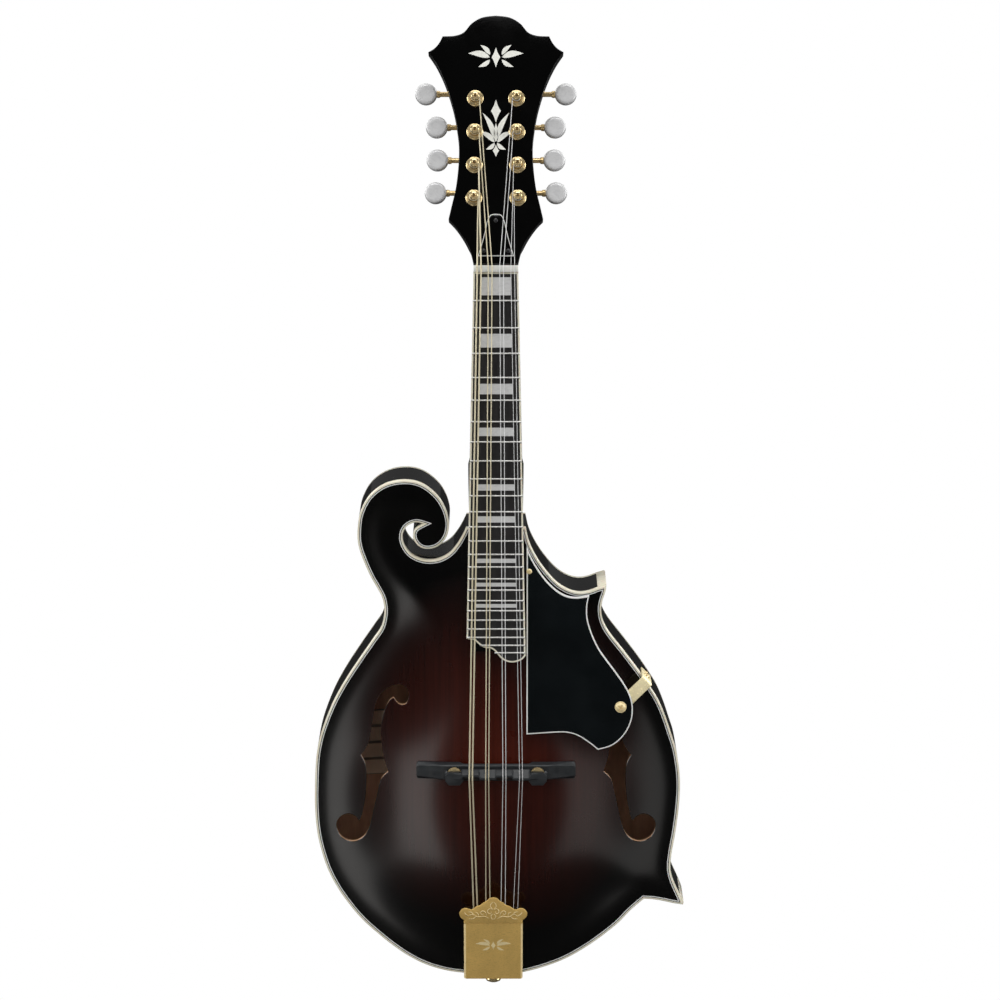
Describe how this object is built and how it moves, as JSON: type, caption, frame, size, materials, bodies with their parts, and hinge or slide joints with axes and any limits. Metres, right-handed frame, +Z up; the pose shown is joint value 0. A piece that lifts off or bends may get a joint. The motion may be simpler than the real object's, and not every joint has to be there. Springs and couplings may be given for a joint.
{
  "type": "f-style mandolin",
  "caption": "Carved hollow-body string instrument with a scroll and two points, raked head with geared tuning keys, floating adjustable bridge, sliding tailpiece cover and raised pickguard.",
  "frame": {"origin": "middle of the neck's thickness at the nut, on the centre line", "axes": "+Z up the neck towards the head, -Y out of the soundboard towards the player's audience, +X towards the treble strings"},
  "size_m": [0.2583, 0.1102, 0.6819],
  "materials": {
    "sunburst_lacquer": "high-gloss lacquer, dark red-brown middle shading to black edges",
    "maple": "bare sanded maple",
    "spruce": "bare quarter-sawn spruce",
    "ivoroid": "ivory-coloured celluloid, polished",
    "ebony": "dark close-grained ebony, satin",
    "bone": "polished bone",
    "black_plastic": "black, high gloss",
    "pearloid": "pearl grey with soft cloudy figure",
    "gold": "gold plated and polished",
    "wound_bronze": "phosphor bronze winding",
    "plain_steel": "drawn steel wire"
  },
  "bodies": {
    "instrument": {"soundboard": "sunburst_lacquer", "back_plate": "sunburst_lacquer", "top_binding": "ivoroid", "rim": "sunburst_lacquer", "top_lining": "maple", "back_lining": "maple", "neck_block": "maple", "tail_block": "maple", "tone_bar_bass": "spruce", "tone_bar_treble": "spruce", "neck": "sunburst_lacquer", "headplate": "black_plastic", "fretboard": "ebony", "nut": "bone", "truss_rod_cover": "black_plastic", "tuner_plate_bass": "gold", "tuner_plate_treble": "gold", "bridge_base": "ebony", "bridge_post_bass": "gold", "bridge_post_treble": "gold", "tailpiece_base": "gold", "end_pin": "gold", "pickguard": "black_plastic", "pickguard_bracket": "gold", "string_g_outer": "wound_bronze", "string_g_inner": "wound_bronze", "string_d_outer": "wound_bronze", "string_d_inner": "wound_bronze", "string_a_inner": "plain_steel", "string_a_outer": "plain_steel", "string_e_inner": "plain_steel", "string_e_outer": "plain_steel"},
    "tuning_key_bass_1": {"worm_shaft_bass_1": "gold", "key_button_bass_1": "pearloid"},
    "post_bass_1": {"string_post_bass_1": "gold"},
    "tuning_key_bass_2": {"worm_shaft_bass_2": "gold", "key_button_bass_2": "pearloid"},
    "post_bass_2": {"string_post_bass_2": "gold"},
    "tuning_key_bass_3": {"worm_shaft_bass_3": "gold", "key_button_bass_3": "pearloid"},
    "post_bass_3": {"string_post_bass_3": "gold"},
    "tuning_key_bass_4": {"worm_shaft_bass_4": "gold", "key_button_bass_4": "pearloid"},
    "post_bass_4": {"string_post_bass_4": "gold"},
    "tuning_key_treble_1": {"worm_shaft_treble_1": "gold", "key_button_treble_1": "pearloid"},
    "post_treble_1": {"string_post_treble_1": "gold"},
    "tuning_key_treble_2": {"worm_shaft_treble_2": "gold", "key_button_treble_2": "pearloid"},
    "post_treble_2": {"string_post_treble_2": "gold"},
    "tuning_key_treble_3": {"worm_shaft_treble_3": "gold", "key_button_treble_3": "pearloid"},
    "post_treble_3": {"string_post_treble_3": "gold"},
    "tuning_key_treble_4": {"worm_shaft_treble_4": "gold", "key_button_treble_4": "pearloid"},
    "post_treble_4": {"string_post_treble_4": "gold"},
    "cover": {"tailpiece_cover": "gold"},
    "saddle": {"bridge_saddle": "ebony"},
    "wheel_bass": {"thumbwheel_bass": "gold"},
    "wheel_treble": {"thumbwheel_treble": "gold"}
  },
  "joints": [
    {"name": "key_turn_bass_1", "type": "hinge", "parent": "instrument", "child": "tuning_key_bass_1", "pos_m": [-0.01494, 0.02923, 0.04815], "axis": [-1, 0, 0], "continuous": true},
    {"name": "post_turn_bass_1", "type": "hinge", "parent": "instrument", "child": "post_bass_1", "pos_m": [-0.01494, 0.00772, 0.04811], "axis": [0, -0.9397, 0.342], "continuous": true},
    {"name": "key_turn_bass_2", "type": "hinge", "parent": "instrument", "child": "tuning_key_bass_2", "pos_m": [-0.01467, 0.03706, 0.06967], "axis": [-1, 0, 0], "continuous": true},
    {"name": "post_turn_bass_2", "type": "hinge", "parent": "instrument", "child": "post_bass_2", "pos_m": [-0.01467, 0.01555, 0.06962], "axis": [0, -0.9397, 0.342], "continuous": true},
    {"name": "key_turn_bass_3", "type": "hinge", "parent": "instrument", "child": "tuning_key_bass_3", "pos_m": [-0.01438, 0.04496, 0.09138], "axis": [-1, 0, 0], "continuous": true},
    {"name": "post_turn_bass_3", "type": "hinge", "parent": "instrument", "child": "post_bass_3", "pos_m": [-0.01438, 0.02345, 0.09133], "axis": [0, -0.9397, 0.342], "continuous": true},
    {"name": "key_turn_bass_4", "type": "hinge", "parent": "instrument", "child": "tuning_key_bass_4", "pos_m": [-0.0141, 0.05293, 0.11327], "axis": [-1, 0, 0], "continuous": true},
    {"name": "post_turn_bass_4", "type": "hinge", "parent": "instrument", "child": "post_bass_4", "pos_m": [-0.0141, 0.03142, 0.11323], "axis": [0, -0.9397, 0.342], "continuous": true},
    {"name": "key_turn_treble_1", "type": "hinge", "parent": "instrument", "child": "tuning_key_treble_1", "pos_m": [0.01494, 0.02923, 0.04815], "axis": [1, 0, 0], "continuous": true},
    {"name": "post_turn_treble_1", "type": "hinge", "parent": "instrument", "child": "post_treble_1", "pos_m": [0.01494, 0.00772, 0.04811], "axis": [0, -0.9397, 0.342], "continuous": true},
    {"name": "key_turn_treble_2", "type": "hinge", "parent": "instrument", "child": "tuning_key_treble_2", "pos_m": [0.01467, 0.03706, 0.06967], "axis": [1, 0, 0], "continuous": true},
    {"name": "post_turn_treble_2", "type": "hinge", "parent": "instrument", "child": "post_treble_2", "pos_m": [0.01467, 0.01555, 0.06962], "axis": [0, -0.9397, 0.342], "continuous": true},
    {"name": "key_turn_treble_3", "type": "hinge", "parent": "instrument", "child": "tuning_key_treble_3", "pos_m": [0.01438, 0.04496, 0.09138], "axis": [1, 0, 0], "continuous": true},
    {"name": "post_turn_treble_3", "type": "hinge", "parent": "instrument", "child": "post_treble_3", "pos_m": [0.01438, 0.02345, 0.09133], "axis": [0, -0.9397, 0.342], "continuous": true},
    {"name": "key_turn_treble_4", "type": "hinge", "parent": "instrument", "child": "tuning_key_treble_4", "pos_m": [0.0141, 0.05293, 0.11327], "axis": [1, 0, 0], "continuous": true},
    {"name": "post_turn_treble_4", "type": "hinge", "parent": "instrument", "child": "post_treble_4", "pos_m": [0.0141, 0.03142, 0.11323], "axis": [0, -0.9397, 0.342], "continuous": true},
    {"name": "tailpiece_cover_slide", "type": "slide", "parent": "instrument", "child": "cover", "axis": [0, -0.2062, 0.9785], "range_m": [0, 0.03]},
    {"name": "saddle_height", "type": "slide", "parent": "instrument", "child": "saddle", "axis": [0, -1, 0], "range_m": [-0.0015, 0]},
    {"name": "wheel_turn_bass", "type": "hinge", "parent": "saddle", "child": "wheel_bass", "pos_m": [-0.0288, -0.0354, -0.3475], "axis": [0, -1, 0], "range_deg": [-680, 0]},
    {"name": "wheel_turn_treble", "type": "hinge", "parent": "saddle", "child": "wheel_treble", "pos_m": [0.0288, -0.0354, -0.3475], "axis": [0, -1, 0], "range_deg": [-680, 0]}
  ],
  "couplings": [
    {"joint": "post_turn_bass_1", "follows": "key_turn_bass_1", "ratio": -0.071429},
    {"joint": "post_turn_bass_2", "follows": "key_turn_bass_2", "ratio": -0.071429},
    {"joint": "post_turn_bass_3", "follows": "key_turn_bass_3", "ratio": -0.071429},
    {"joint": "post_turn_bass_4", "follows": "key_turn_bass_4", "ratio": -0.071429},
    {"joint": "post_turn_treble_1", "follows": "key_turn_treble_1", "ratio": -0.071429},
    {"joint": "post_turn_treble_2", "follows": "key_turn_treble_2", "ratio": -0.071429},
    {"joint": "post_turn_treble_3", "follows": "key_turn_treble_3", "ratio": -0.071429},
    {"joint": "post_turn_treble_4", "follows": "key_turn_treble_4", "ratio": -0.071429},
    {"joint": "wheel_turn_bass", "follows": "saddle_height", "rad_per_m": 7854},
    {"joint": "wheel_turn_treble", "follows": "saddle_height", "rad_per_m": 7854}
  ]
}
